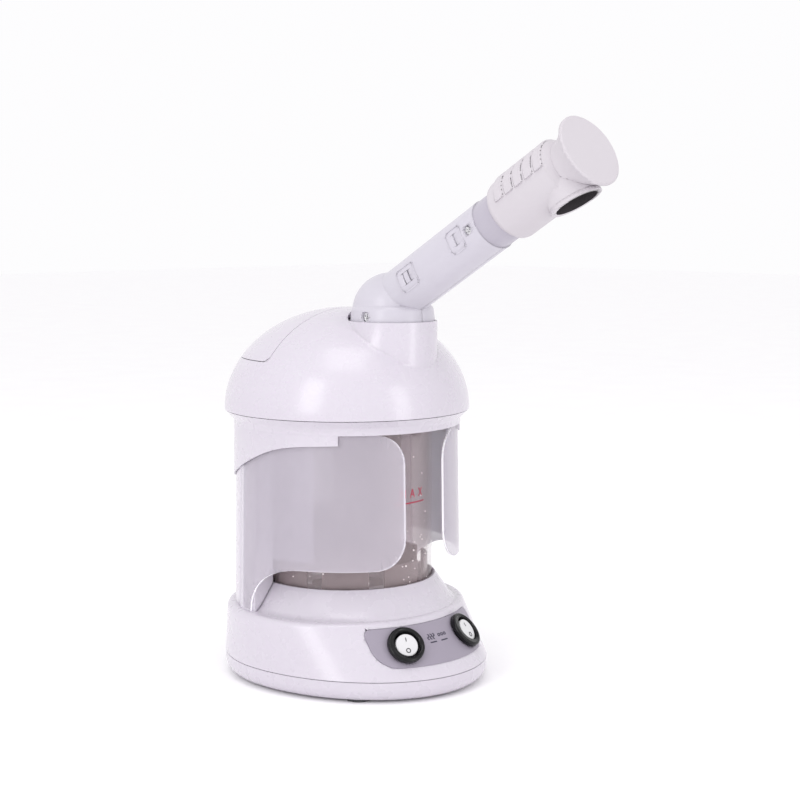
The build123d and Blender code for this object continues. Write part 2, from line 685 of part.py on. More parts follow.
def make_head_shell():
    shell = head_turned([
        (HEAD_BORE_R, HEAD_START),
        (HEAD_R - 2.4, HEAD_START),
        (HEAD_R - 0.6, HEAD_START + 1.8),
        (HEAD_R, HEAD_START + 3.8),
        (HEAD_R, HEAD_TAPER_AT),
        (HEAD_R - 2.0, HEAD_TAPER_AT + 2.2),
        (HEAD_NECK_R, HEAD_NECK_AT),
        (HEAD_NECK_R - 2.0, HEAD_NECK_AT),
        (HEAD_R - 4.2, HEAD_TAPER_AT + 1.6),
        (HEAD_R - 2.0, HEAD_TAPER_AT - 2.4),
        (HEAD_R - 2.0, HEAD_BORE_END),
        (HEAD_BORE_R, HEAD_BORE_END),
    ])
    spout = across_head(OUTLET_R, SPOUT_FROM, OUTLET_FACE - 2.5)
    core = head_turned([
        (0, HEAD_BORE_END),
        (HEAD_R - 2.0, HEAD_BORE_END),
        (HEAD_R - 2.0, HEAD_TAPER_AT - 2.4),
        (HEAD_R - 4.2, HEAD_TAPER_AT + 1.6),
        (HEAD_NECK_R - 2.0, HEAD_NECK_AT),
        (0, HEAD_NECK_AT),
    ])
    shell = shell + (spout - core)
    shell = shell - across_head(OUTLET_R + 0.05, OUTLET_FACE - 2.5, 30)
    return shell - across_head(OUTLET_R - 1.6, 0, 30)


def make_outlet_ring():
    ring = across_head(OUTLET_R, OUTLET_FACE - 2.45, OUTLET_FACE)
    ring = ring + across_head(OUTLET_R - 1.65, 12.0, OUTLET_FACE)
    return ring - across_head(OUTLET_BORE_R, 0, 30)


def make_outlet_grille():
    hoop = across_head(OUTLET_BORE_R + 1.0, 10.0, 11.9) - across_head(OUTLET_BORE_R - 1.0, 0, 20)
    inner = across_head(6.6, 10.2, 11.6) - across_head(5.2, 0, 20)
    grille = hoop + inner
    spoke = Pos(0, -10.9, OUTLET_AT) * Box(25.0, 1.4, 1.6)
    for turn in (0, 60, 120):
        bar = spoke.rotate(Axis((0, -10.9, OUTLET_AT), (0, 1, 0)), turn)
        grille = grille + head_plane * bar
    return grille


def make_grip_panel():
    grip = None
    for i in range(RIB_COUNT):
        s = RIB_START + i * RIB_PITCH
        profile = make_face(Polyline([
            (HEAD_R + 0.02, 0, s),
            (HEAD_R + RIB_H, 0, s + 1.4),
            (HEAD_R + RIB_H, 0, s + RIB_L - 1.3),
            (HEAD_R + 0.02, 0, s + RIB_L),
        ], close=True))
        rib = revolve(Rot(0, 0, 90 - RIB_ARC / 2) * profile, Axis.Z, RIB_ARC)
        grip = rib if grip is None else grip + rib
    return head_plane * grip


def make_end_disk():
    flare = head_turned([
        (0, HEAD_NECK_AT + 0.05),
        (HEAD_NECK_R, HEAD_NECK_AT + 0.05),
        (HEAD_NECK_R + 0.6, HEAD_NECK_AT + 4.0),
        (HEAD_NECK_R + 2.8, HEAD_NECK_AT + 8.6),
        (DISK_R - 1.0, HEAD_END),
        (DISK_R, HEAD_END + 0.6),
        (DISK_R, DISK_END - 0.6),
        (DISK_R - 0.8, DISK_END),
        (0, DISK_END),
    ])
    hollow = head_turned([
        (0, HEAD_NECK_AT - 1),
        (HEAD_NECK_R - 2.2, HEAD_NECK_AT - 1),
        (HEAD_NECK_R - 1.4, HEAD_NECK_AT + 4.0),
        (HEAD_NECK_R + 0.8, HEAD_NECK_AT + 9.0),
        (0, HEAD_NECK_AT + 11.0),
    ])
    return flare - hollow - across_head(OUTLET_R + 0.05, SPOUT_FROM - 0.1, 30)


def make_head_seal():
    inner = NECK_R + 0.1
    outer = HEAD_BORE_R - 0.02
    start = HEAD_START + 2.4
    return head_turned([(inner, start), (outer, start), (outer, start + 2.0), (inner, start + 2.0)])


# ---- the assembly ----
parts["base_shell"] = make_base_shell()
parts["base_cover"] = make_base_cover()
parts["foot_pads"] = Compound([disc(FOOT_R, -FOOT_H, FOOT_RECESS, x, y) for x, y in FOOT_SPOTS])
parts["base_screws"] = Compound([
    disc(3.2, 2.6, 5.0, x, y) + disc(1.6, 5.0, 26.0, x, y) for x, y in POST_SPOTS
])
parts["control_panel"] = make_control_panel()
parts["cord_gland"] = make_cord_gland()
for name, side in SIDES.items():
    plane = switch_plane(side)
    parts[name + "_switch_body"] = plane * make_switch_body()
    parts[name + "_rocker"] = plane * make_rocker()
parts["switch_terminals"] = Compound([
    solid for s in SIDES.values() for solid in (switch_plane(s) * make_terminals()).solids()
])
parts["water_jar"] = make_jar()
parts["lower_gasket"] = tube(52.6, 50.4, SHOULDER_Z + 1.5, JAR_Z0)
parts["upper_gasket"] = tube(53.4, 50.0, JAR_Z1, DECK_Z0)
parts["heater_plate"] = make_heater_plate()
parts["heating_element"] = make_heating_element()
parts["boil_guard"] = make_boil_guard()
parts["thermostat"] = make_thermostat()
parts["rear_column"] = make_rear_column()
parts["guard_left"] = make_guard(-1)
parts["guard_right"] = make_guard(1)
parts["guard_liners"] = make_guard_liners()
parts["dome_ring"] = make_dome_ring()
parts["dome_screws"] = Compound([
    disc(3.0, DECK_Z0 - 2.0, DECK_Z0, *point_at(DOME_SCREW_R, rho))
    + disc(1.3, DECK_Z0, DECK_Z0 + 12, *point_at(DOME_SCREW_R, rho))
    for rho in DOME_SCREW_AT
])
parts["dome_shell"] = make_dome_shell()
parts["fill_lid"] = make_fill_lid()
parts["lid_hinge_pin"] = knuckle(-13.4, 13.4, HINGE_PIN_R)
parts["fill_tray"] = make_fill_tray()
parts["jar_cap"] = make_jar_cap()
parts["fill_chute"] = make_fill_chute()
parts["steam_riser"] = make_steam_riser()
parts["swivel_bush"] = make_swivel_bush()
parts["lamp_holder"] = make_lamp_holder()
parts["uv_lamp"] = make_uv_lamp()
parts["circuit_board"] = make_circuit_board()
parts["arm_shell_left"] = make_arm_half(-1)
parts["arm_shell_right"] = make_arm_half(1)
parts["arm_screws"] = make_arm_screws()
parts["arm_neck"] = make_arm_neck()
parts["steam_duct"] = make_steam_duct()
parts["duct_collar"] = make_duct_collar()
parts["head_clip"] = make_head_clip()
parts["head_shell"] = make_head_shell()
parts["head_seal"] = make_head_seal()
parts["grip_ribs"] = make_grip_panel()
parts["outlet_ring"] = make_outlet_ring()
parts["outlet_grille"] = make_outlet_grille()
parts["end_disk"] = make_end_disk()

os.makedirs("parts", exist_ok=True)
for name, shape in parts.items():
    export_step(shape, f"parts/{name}.step")
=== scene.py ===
import json
import math
import random

import bmesh
import bpy
from mathutils import Matrix, Vector

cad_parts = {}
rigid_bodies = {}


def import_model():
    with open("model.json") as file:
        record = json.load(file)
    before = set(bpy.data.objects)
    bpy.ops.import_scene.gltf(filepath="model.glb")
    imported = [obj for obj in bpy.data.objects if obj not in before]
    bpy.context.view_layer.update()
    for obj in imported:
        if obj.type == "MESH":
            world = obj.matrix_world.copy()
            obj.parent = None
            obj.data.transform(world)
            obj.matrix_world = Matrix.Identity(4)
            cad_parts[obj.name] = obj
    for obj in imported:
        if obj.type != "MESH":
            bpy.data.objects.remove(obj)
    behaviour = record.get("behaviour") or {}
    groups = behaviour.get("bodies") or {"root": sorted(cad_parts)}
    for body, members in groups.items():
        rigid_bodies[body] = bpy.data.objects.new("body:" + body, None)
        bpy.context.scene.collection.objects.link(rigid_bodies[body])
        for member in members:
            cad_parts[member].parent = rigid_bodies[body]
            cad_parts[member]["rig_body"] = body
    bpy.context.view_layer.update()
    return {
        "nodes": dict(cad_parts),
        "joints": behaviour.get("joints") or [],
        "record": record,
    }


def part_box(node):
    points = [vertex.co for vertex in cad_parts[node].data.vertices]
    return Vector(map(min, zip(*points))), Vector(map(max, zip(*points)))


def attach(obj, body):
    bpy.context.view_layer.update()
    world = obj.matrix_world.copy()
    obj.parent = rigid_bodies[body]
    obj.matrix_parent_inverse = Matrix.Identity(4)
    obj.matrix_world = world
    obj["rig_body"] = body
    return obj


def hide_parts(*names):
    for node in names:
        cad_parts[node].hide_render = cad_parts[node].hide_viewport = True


bl_info = {
    "name": "Facial Steamer",
    "version": (1, 0, 0),
    "blender": (4, 5, 0),
    "location": "View3D > Sidebar > Steamer",
    "description": "Builds the finish and the fine detail of a table-top facial steamer",
    "category": "Object",
}

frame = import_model()
JOINTS = {joint["name"]: joint for joint in frame["joints"]}
MM = 0.001

# Places that the frame's own boxes and joints give.
JAR_LOW, JAR_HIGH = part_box("water_jar")
JAR_R = JAR_HIGH.x

# The switches lean back with the front slope, and each rocker rests with its lower edge in.
SWITCH_RISE = math.radians(40.8)
ROCKER_REST = math.radians(7.0)
ROCKER_TOP = 5.6 * MM           # from the rocker's pivot to its face

# The level mark: angles in degrees from the front, positive towards +X.
LEVEL_Z = 109.6 * MM
LEVEL_ANGLE = -3.9
LEVEL_PITCH = 8.6
LEVEL_LINE = (-12.0, 18.0)

LEVEL_TEXT_RISE = 3.2 * MM      # from the line to the foot of the letters
LEVEL_TEXT_STRETCH = 0.9
LEVEL_BAR = 0.4 * MM
LEVEL_BAR_H = 0.75 * MM
LEVEL_STEPS = 24

BUBBLE_R = 0.6 * MM
BUBBLE_SEED = 7
BUBBLE_HIGH_EVERY = 7           # one bubble in so many sits high in the jar
BUBBLE_GAP = 0.35 * MM          # from the boil guard's wall to the bubbles' middles
BUBBLE_FOOT = 2 * MM
BUBBLE_TOP_GAP = 8 * MM
BUBBLE_REACH = 1.25             # how far up they crowd, in heights of the boil guard

# The on and off marks on each rocker, and the signs between the switches.
MARK_LINE = 0.5 * MM
MARK_FROM_PIVOT = 3.4 * MM
ON_H = 2.4 * MM
OFF_R = 1.25 * MM
SIGN_COUNT = 3
WAVE_R = 0.85 * MM
WAVE_LINE = 0.62 * MM
WAVE_PITCH = 2.0 * MM
WAVE_FIRST = -6.8 * MM
RING_R = 0.8 * MM
RING_LINE = 0.5 * MM
RING_PITCH = 2.5 * MM
RING_FIRST = 1.8 * MM
RING_RISE = 0.9 * MM
DASH_H = 0.75 * MM
DASH_DROP = -2.9 * MM
SIGNS_SHIFT = -0.6 * MM
SIGNS_RISE = 2.5 * MM
SIGNS_CLEAR = 6 * MM            # the signs start this far in front of the panel

# The cross recess in the arm's screws.
CROSS_L = 2.6 * MM
CROSS_W = 0.6 * MM
CROSS_DEEP = 1.5 * MM
CROSS_TURN = math.radians(20)
SCREW_SPLIT_Y = -80 * MM        # the elbow's screws are behind this, the arm's in front
SCREW_RIM = 0.1 * MM

OUTLET_BORE = 14.0 * MM         # faces nearer than this to the outlet's axis are its bore, painted dark as shade
RIM_LEAN = 0.5                  # a guard face that leans more than this is a cut edge, and gets the painted highlight glow

DRIFT_SCALE = 14.0              # noise scales, per metre, that all mouldings share
GLOSS_SCALE = 90.0

TABLE_SIZE = 12.0
STUDIO_MIDDLE = Vector((0, -0.03, 0.15))
CAMERA_PLACE = (-0.7001, -0.7467, 0.2846)
CAMERA_DIP = math.radians(6.48)
CAMERA_TURN = math.radians(-45)
CAMERA_LENS = 74.25


# ---------------------------------------------------------------- settings
class SteamerFinish(bpy.types.PropertyGroup):
    """Colours of the mouldings."""
    shell: bpy.props.FloatVectorProperty(
        name="Shell", description="Glossy housing colour", subtype="COLOR", size=3,
        min=0, max=1, default=(0.585, 0.555, 0.615))
    panel: bpy.props.FloatVectorProperty(
        name="Panel", description="Control panel colour", subtype="COLOR", size=3,
        min=0, max=1, default=(0.30, 0.27, 0.33))
    jar: bpy.props.FloatVectorProperty(
        name="Jar", description="Tint of the water jar", subtype="COLOR", size=3,
        min=0, max=1, default=(0.90, 0.74, 0.77))
    guard: bpy.props.FloatVectorProperty(
        name="Guard", description="Tint of the frosted guard", subtype="COLOR", size=3,
        min=0, max=1, default=(0.60, 0.555, 0.63))
    head: bpy.props.FloatVectorProperty(
        name="Head", description="Matte colour of the steam head", subtype="COLOR", size=3,
        min=0, max=1, default=(0.545, 0.515, 0.55))
    mark: bpy.props.FloatVectorProperty(
        name="Level mark", description="Ink of the level mark", subtype="COLOR", size=3,
        min=0, max=1, default=(0.45, 0.02, 0.06))


class SteamerSizes(bpy.types.PropertyGroup):
    """Sizes of the fine detail."""
    ink: bpy.props.FloatProperty(
        name="Ink height", description="Height of printed marks above their surface",
        unit="LENGTH", min=0.00005, max=0.0005, default=0.00015)
    letter: bpy.props.FloatProperty(
        name="Letter height", description="Height of the level mark's letters",
        unit="LENGTH", min=0.002, max=0.01, default=0.0052)
    drops: bpy.props.IntProperty(
        name="Drops", description="Number of air bubbles low in the jar",
        min=0, max=400, default=170)


# ---------------------------------------------------------------- shader maths
class Value:
    """A shader socket that takes part in Python expressions."""

    def __init__(self, shader, socket):
        self.shader = shader
        self.socket = socket

    def _math(self, operation, first, second):
        node = self.shader.node("ShaderNodeMath", {"operation": operation}, {0: first, 1: second})
        return Value(self.shader, node.outputs[0])

    def __add__(self, other):
        return self._math("ADD", self, other)

    def __mul__(self, other):
        return self._math("MULTIPLY", self, other)

    def __pow__(self, other):
        return self._math("POWER", self, other)


class Shader:
    """A material with one Principled surface and the nodes that feed it."""

    def __init__(self, name, **plain):
        self.material = bpy.data.materials.new(name)
        self.material.use_nodes = True
        self.tree = self.material.node_tree
        self.surface = self.tree.nodes["Principled BSDF"]
        for socket, value in plain.items():
            self.surface.inputs[socket.replace("_", " ")].default_value = value
        self.place = self.node("ShaderNodeTexCoord").outputs["Object"]

    def node(self, kind, settings=None, sockets=None):
        made = self.tree.nodes.new(kind)
        for key, value in (settings or {}).items():
            setattr(made, key, value)
        for key, value in (sockets or {}).items():
            if isinstance(value, Value):
                value = value.socket
            if isinstance(value, bpy.types.NodeSocket):
                self.tree.links.new(value, made.inputs[key])
            else:
                made.inputs[key].default_value = value
        return made

    def noise(self, scale, detail=2.0, rough=0.5):
        made = self.node("ShaderNodeTexNoise", None, {
            "Vector": self.place, "Scale": scale, "Detail": detail, "Roughness": rough})
        return Value(self, made.outputs["Fac"])

    def mix(self, factor, first, second):
        made = self.node("ShaderNodeMix", {"data_type": "RGBA"}, {
            0: factor, 6: (*first, 1.0), 7: (*second, 1.0)})
        return made.outputs[2]

    def feed(self, socket, value):
        if isinstance(value, Value):
            value = value.socket
        self.tree.links.new(value, self.surface.inputs[socket])

    def bump(self, height, strength, distance=0.0002):
        made = self.node("ShaderNodeBump", None, {
            "Height": height, "Strength": strength, "Distance": distance})
        self.feed("Normal", made.outputs["Normal"])


def shade(colour, factor):
    return tuple(min(1.0, c * factor) for c in colour)


def moulding(name, colour, rough, grain, scale, tint=(1.0, 0.985, 1.0), **plain):
    """Moulded plastic: a slow drift of tint, uneven gloss and a fine surface grain."""
    made = Shader(name, **plain)
    drift = made.noise(DRIFT_SCALE, 2.0)
    light = shade(colour, 1.025)
    warm = tuple(min(1.0, c * t * 0.985) for c, t in zip(colour, tint))
    made.feed("Base Color", made.mix(drift, warm, light))
    made.feed("Roughness", made.noise(GLOSS_SCALE, 3.0) * (rough * 0.35) + rough * 0.82)
    made.bump(made.noise(scale, 3.0, 0.6), grain)
    return made.material


MATERIALS = {}


def finish(name):
    """The named finish, made once."""
    if name not in MATERIALS:
        MATERIALS[name] = FINISHES[name]()
    return MATERIALS[name]


def colours():
    return bpy.context.scene.steamer_finish


def shell_plastic():
    return moulding(
        "shell_plastic", tuple(colours().shell), 0.28, 0.02, 700.0, (1.0, 0.975, 0.995),
        Coat_Weight=0.35, Coat_Roughness=0.15, IOR=1.5, Subsurface_Weight=0.12,
        Subsurface_Radius=(0.004, 0.003, 0.004), Subsurface_Scale=0.6)


def panel_paint():
    return moulding("panel_paint", tuple(colours().panel), 0.42, 0.25, 1800.0, Coat_Weight=0.1)


def switch_plastic():
    return moulding("switch_plastic", (0.004, 0.004, 0.005), 0.2, 0.1, 1400.0,
                    Specular_IOR_Level=0.3)


def rocker_plastic():
    return moulding("rocker_plastic", (0.66, 0.66, 0.67), 0.34, 0.5, 2600.0)


def printed_ink():
    return moulding("printed_ink", (0.03, 0.028, 0.035), 0.45, 0.1, 2000.0)


def violet_ink():
    return moulding("violet_ink", (0.03, 0.025, 0.05), 0.5, 0.1, 2000.0)


def level_ink():
    return moulding("level_ink", tuple(colours().mark), 0.4, 0.1, 2000.0)


def clear_moulding(name, colour, face_alpha, edge_alpha, rough, grain, gloss):
    """Translucent plastic: cloudy tint, and denser where it is seen edge on."""
    made = Shader(name, Coat_Weight=gloss, Coat_Roughness=rough * 0.4, IOR=1.5)
    cloud = made.noise(22.0, 3.0)
    made.feed("Base Color", made.mix(cloud, shade(colour, 0.93), shade(colour, 1.06)))
    made.feed("Roughness", made.noise(180.0, 3.0) * (rough * 0.4) + rough * 0.8)
    facing = made.node("ShaderNodeLayerWeight", None, {"Blend": 0.35}).outputs["Facing"]
    made.feed("Alpha", Value(made, facing) ** 2.0 * (edge_alpha - face_alpha) + face_alpha)
    made.bump(made.noise(900.0, 3.0), grain)
    return made.material


def jar_plastic():
    return clear_moulding("jar_plastic", tuple(colours().jar), 0.13, 0.42, 0.08, 0.03, 1.0)


def guard_frost():
    return clear_moulding("guard_frost", tuple(colours().guard), 0.42, 0.70, 0.34, 0.12, 0.3)


# Painted highlight: a near-white colour and a faint glow on the guards' cut edges, standing in for
# the light the edges catch.
def guard_rim_painted_glow():
    return moulding("guard_rim_painted_glow", (0.93, 0.92, 0.95), 0.25, 0.05, 900.0, Emission_Strength=0.25,
                    Emission_Color=(0.95, 0.94, 1.0, 1.0))


def liner_frost():
    return clear_moulding("liner_frost", (0.84, 0.79, 0.90), 0.28, 0.55, 0.5, 0.05, 0.1)


def arm_frost():
    return clear_moulding("arm_frost", (0.56, 0.535, 0.60), 0.94, 0.99, 0.4, 0.1, 0.25)


def neck_frost():
    return clear_moulding("neck_frost", (0.46, 0.43, 0.50), 0.92, 0.99, 0.4, 0.1, 0.2)


def head_matte():
    return moulding("head_matte", tuple(colours().head), 0.52, 0.35, 2200.0, (1.0, 0.985, 0.99))


def boil_guard_plastic():
    made = Shader("boil_guard_plastic", Coat_Weight=0.2)
    speck = made.noise(900.0, 4.0, 0.7)
    scale = made.noise(60.0, 3.0)
    made.feed("Base Color", made.mix(scale, (0.05, 0.03, 0.035), (0.10, 0.07, 0.075)))
    made.feed("Roughness", scale * 0.3 + 0.35)
    made.bump(speck, 0.35)
    return made.material


def grille_plastic():
    return moulding("grille_plastic", (0.05, 0.045, 0.05), 0.4, 0.2, 1800.0)


def inner_plastic():
    return moulding("inner_plastic", (0.78, 0.77, 0.79), 0.4, 0.15, 1200.0)


def seal_silicone():
    return moulding("seal_silicone", (0.55, 0.53, 0.56), 0.5, 0.1, 900.0, Subsurface_Weight=0.2,
                    Subsurface_Scale=0.3)


def foot_rubber():
    return moulding("foot_rubber", (0.06, 0.06, 0.065), 0.75, 0.5, 1600.0)


def plated_steel():
    made = Shader("plated_steel", Metallic=1.0)
    brushed = made.noise(260.0, 5.0, 0.7)
    made.feed("Base Color", made.mix(brushed, (0.62, 0.62, 0.64), (0.80, 0.79, 0.80)))
    made.feed("Roughness", brushed * 0.25 + 0.22)
    made.bump(brushed, 0.12)
    return made.material


def stamped_brass():
    made = Shader("stamped_brass", Metallic=1.0)
    worn = made.noise(300.0, 4.0)
    made.feed("Base Color", made.mix(worn, (0.55, 0.38, 0.14), (0.75, 0.56, 0.25)))
    made.feed("Roughness", worn * 0.2 + 0.3)
    made.bump(worn, 0.1)
    return made.material


def board_laminate():
    return moulding("board_laminate", (0.03, 0.14, 0.06), 0.35, 0.3, 900.0)


def lamp_quartz():
    made = Shader("lamp_quartz", Transmission_Weight=1.0, IOR=1.4)
    haze = made.noise(120.0, 3.0)
    made.feed("Base Color", made.mix(haze, (0.85, 0.88, 0.95), (0.95, 0.96, 1.0)))
    made.feed("Roughness", haze * 0.15 + 0.03)
    return made.material


# Painted highlight: the bubbles get a light colour and a faint glow, standing in for the glints of
# light they catch in the water.
def air_bubble_painted_glint():
    return moulding("air_bubble_painted_glint", (0.90, 0.86, 0.86), 0.2, 0.0, 900.0,
                    Emission_Strength=0.2, Emission_Color=(1.0, 0.95, 0.95, 1.0))


def table_paper():
    return moulding("table_paper", (0.985, 0.985, 0.99), 0.9, 0.02, 300.0)


FINISHES = {f.__name__: f for f in (
    shell_plastic, panel_paint, switch_plastic, rocker_plastic, printed_ink, violet_ink,
    level_ink, jar_plastic, guard_frost, guard_rim_painted_glow, liner_frost, arm_frost, neck_frost, head_matte,
    boil_guard_plastic, grille_plastic, inner_plastic, seal_silicone, foot_rubber,
    plated_steel, stamped_brass, board_laminate, lamp_quartz, air_bubble_painted_glint, table_paper)}

# The finish of each CAD node, by its slot in the record.
SLOT_FINISH = {
    "white_gloss": "shell_plastic", "panel_grey": "panel_paint",
    "switch_black": "switch_plastic", "rocker_white": "rocker_plastic",
    "jar_smoke": "jar_plastic", "guard_frosted": "guard_frost", "arm_frosted": "arm_frost",
    "head_white": "head_matte", "grille_dark": "grille_plastic",
    "guard_dark": "boil_guard_plastic", "rubber": "foot_rubber",
    "silicone": "seal_silicone", "steel": "plated_steel", "inner_white": "inner_plastic",
    "brass": "stamped_brass", "board_green": "board_laminate", "lamp_glass": "lamp_quartz",
}
NODE_FINISH = {
    "arm_neck": "neck_frost", "guard_liners": "liner_frost", "fill_chute": "inner_plastic",
}
NODE_SLOT = {part["node"]: part["material_slot"] for part in frame["record"]["subparts"]}


# ---------------------------------------------------------------- mesh helpers
def only(piece):
    """Leaves one object selected and active, in object mode."""
    if bpy.context.mode != "OBJECT":
        bpy.ops.object.mode_set(mode="OBJECT")
    bpy.ops.object.select_all(action="DESELECT")
    piece.select_set(True)
    bpy.context.view_layer.objects.active = piece
    return piece


def added(name):
    """The primitive just added, named."""
    piece = bpy.context.active_object
    piece.name = name
    piece.data.name = name
    return piece


def settle(piece):
    """Moves an object's place into its mesh."""
    only(piece)
    bpy.ops.object.transform_apply(location=True, rotation=True, scale=True)
    return piece


def modify(piece, kind, **settings):
    """Adds a modifier and applies it."""
    only(piece)
    modifier = piece.modifiers.new(kind.title(), kind)
    for key, value in settings.items():
        setattr(modifier, key, value)
    bpy.ops.object.modifier_apply(modifier=modifier.name)
    return piece


def smooth(piece, degrees=35):
    only(piece)
    bpy.ops.object.shade_smooth_by_angle(angle=math.radians(degrees))
    return piece


def dress(piece, material):
    piece.data.materials.clear()
    piece.data.materials.append(finish(material))
    return piece


def done(piece, body, material):
    """Finishes a new piece and says which body it rides on."""
    settle(piece)
    dress(piece, material)
    smooth(piece)
    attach(piece, body)
    return piece


def finish_of(node):
    return NODE_FINISH.get(node) or SLOT_FINISH[NODE_SLOT[node]]


def body_of(node):
    return frame["nodes"][node]["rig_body"]


def restyled(node, degrees=30):
    """A copy of a node with merged points and smooth faces, which stands for the node."""
    name = node + "_moulding"
    piece = bpy.data.objects.new(name, frame["nodes"][node].data.copy())
    bpy.context.scene.collection.objects.link(piece)
    only(piece)
    bpy.ops.object.mode_set(mode="EDIT")
    bpy.ops.mesh.select_all(action="SELECT")
    bpy.ops.mesh.remove_doubles(threshold=1e-6)
    bpy.ops.object.mode_set(mode="OBJECT")
    dress(piece, finish_of(node))
    smooth(piece, degrees)
    modify(piece, "WEIGHTED_NORMAL", mode="FACE_AREA", weight=100, keep_sharp=True)
    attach(piece, body_of(node))
    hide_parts(node)
    return piece


def restyle_all(nodes):
    return {node: restyled(node) for node in nodes}


def frame_at(origin, across, up):
    """A matrix whose X is across and Y is up, with Z off the surface."""
    across = Vector(across).normalized()
    up = Vector(up)
    up = (up - across * up.dot(across)).normalized()
    off = across.cross(up)
    turn = Matrix((across, up, off)).transposed().to_4x4()
    return Matrix.Translation(Vector(origin)) @ turn


def put(piece, place):
    """Carries a piece that was made flat at the origin to its place on the object."""
    piece.matrix_world = place @ piece.matrix_world
    return settle(piece)


def ink_bar(name, width, height, x=0.0, y=0.0):
    """A flat printed bar with rounded corners, in the XY plane."""
    bpy.ops.object.select_all(action="DESELECT")
    bpy.ops.mesh.primitive_plane_add(size=1.0, location=(x, y, 0))
    piece = added(name)
    piece.scale = (width, height, 1.0)
    settle(piece)
    bpy.ops.object.mode_set(mode="EDIT")
    bpy.ops.mesh.select_all(action="SELECT")
    bpy.ops.mesh.bevel(affect="VERTICES", offset=min(width, height) * 0.4, segments=3)
    bpy.ops.object.mode_set(mode="OBJECT")
    return piece


def ink_arc(name, radius, width, arcs, x=0.0, y=0.0, steps=10):
    """A flat printed line of half turns, each 1 or -1, up the Y axis, or a ring for one 2."""
    bpy.ops.object.select_all(action="DESELECT")
    bpy.ops.mesh.primitive_plane_add(size=width, location=(0, 0, 0))
    piece = added(name)
    bpy.ops.object.mode_set(mode="EDIT")
    bpy.ops.mesh.select_all(action="DESELECT")
    drawn = bmesh.from_edit_mesh(piece.data)
    for vertex in drawn.verts:
        vertex.select_set(vertex.co.x < 0)
    drawn.select_flush_mode()
    bmesh.update_edit_mesh(piece.data)
    bpy.ops.mesh.delete(type="VERT")
    bpy.ops.mesh.select_all(action="SELECT")
    bpy.ops.transform.translate(value=(-width / 2, 0, 0))
    for i, turn in enumerate(arcs):
        bpy.ops.mesh.spin(steps=steps * abs(turn), angle=math.pi * turn, dupli=False,
                          center=(0, radius * (2 * i + 1), 0), axis=(0, 0, 1))
    bpy.ops.mesh.select_all(action="SELECT")
    bpy.ops.mesh.remove_doubles(threshold=1e-6)
    bpy.ops.transform.translate(value=(x, y - radius, 0))
    bpy.ops.object.mode_set(mode="OBJECT")
    return piece


def joined(name, pieces):
    only(pieces[0])
    for piece in pieces[1:]:
        piece.select_set(True)
    bpy.ops.object.join()
    return added(name)


def printed(piece, place, onto=None, along="Z"):
    """Lays a flat print on its surface and gives it the ink's height."""
    put(piece, place)
    if onto:
        modify(piece, "SUBSURF", levels=2, render_levels=2, subdivision_type="SIMPLE")
        modify(piece, "SHRINKWRAP", target=onto, wrap_method="PROJECT",
               use_project_x=along == "X", use_project_y=along == "Y",
               use_project_z=along == "Z", use_negative_direction=False)
    only(piece)
    bpy.ops.object.mode_set(mode="EDIT")
    bpy.ops.mesh.select_all(action="SELECT")
    off = place.to_3x3() @ Vector((0, 0, 1))
    bpy.ops.mesh.normals_make_consistent(inside=False)
    bpy.ops.object.mode_set(mode="OBJECT")
    facing = sum((face.normal * face.area for face in piece.data.polygons), Vector())
    if facing.dot(off) < 0:
        bpy.ops.object.mode_set(mode="EDIT")
        bpy.ops.mesh.flip_normals()
        bpy.ops.object.mode_set(mode="OBJECT")
    ink = bpy.context.scene.steamer_sizes.ink
    return modify(piece, "SOLIDIFY", thickness=ink, offset=1.0)


# ---------------------------------------------------------------- operators
class STEAMER_OT_finishes(bpy.types.Operator):
    """Gives every node its finish"""
    bl_idname = "steamer.finishes"
    bl_label = "Finishes"

    def execute(self, context):
        for name, node in frame["nodes"].items():
            dress(node, finish_of(name))
        return {"FINISHED"}


class STEAMER_OT_housing(bpy.types.Operator):
    """Finishes the base, the column, the dome and the fill lid"""
    bl_idname = "steamer.housing"
    bl_label = "Housing"

    def execute(self, context):
        restyle_all(("base_shell", "base_cover", "rear_column", "dome_ring", "dome_shell",
                     "fill_lid", "fill_tray", "foot_pads", "cord_gland", "base_screws",
                     "dome_screws", "lid_hinge_pin"))
        return {"FINISHED"}


class STEAMER_OT_jar(bpy.types.Operator):
    """Finishes the jar, what stands in it and its seals"""
    bl_idname = "steamer.jar"
    bl_label = "Water jar"

    def execute(self, context):
        restyle_all(("water_jar", "boil_guard", "heater_plate", "heating_element", "jar_cap",
                     "fill_chute", "lower_gasket", "upper_gasket", "steam_riser"))
        return {"FINISHED"}


class STEAMER_OT_bubbles(bpy.types.Operator):
    """Adds the air bubbles that cling to the jar's wall low down"""
    bl_idname = "steamer.bubbles"
    bl_label = "Air bubbles"

    def execute(self, context):
        chance = random.Random(BUBBLE_SEED)
        low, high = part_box("boil_guard")
        wall = high.x + BUBBLE_GAP
        bpy.ops.object.select_all(action="DESELECT")
        bpy.ops.mesh.primitive_ico_sphere_add(subdivisions=1, radius=BUBBLE_R, location=(0, 0, 0))
        first = added("air_bubbles")
        pieces = []
        for i in range(context.scene.steamer_sizes.drops):
            angle = chance.uniform(-math.pi, math.pi)
            rise = chance.random() ** 2
            height = low.z + BUBBLE_FOOT + rise * (high.z - low.z) * BUBBLE_REACH
            if i % BUBBLE_HIGH_EVERY == 0:
                height = chance.uniform(high.z, JAR_HIGH.z - BUBBLE_TOP_GAP)
            size = chance.uniform(0.5, 1.1)
            bubble = first.copy()
            bubble.data = first.data.copy()
            context.scene.collection.objects.link(bubble)
            bubble.scale = (size, size, size * chance.uniform(0.8, 1.3))
            bubble.location = (wall * math.sin(angle), -wall * math.cos(angle), height)
            pieces.append(settle(bubble))
        bpy.data.objects.remove(first)
        # The bubbles wear the painted highlight finish.
        done(joined("air_bubbles", pieces), "housing", "air_bubble_painted_glint")
        return {"FINISHED"}


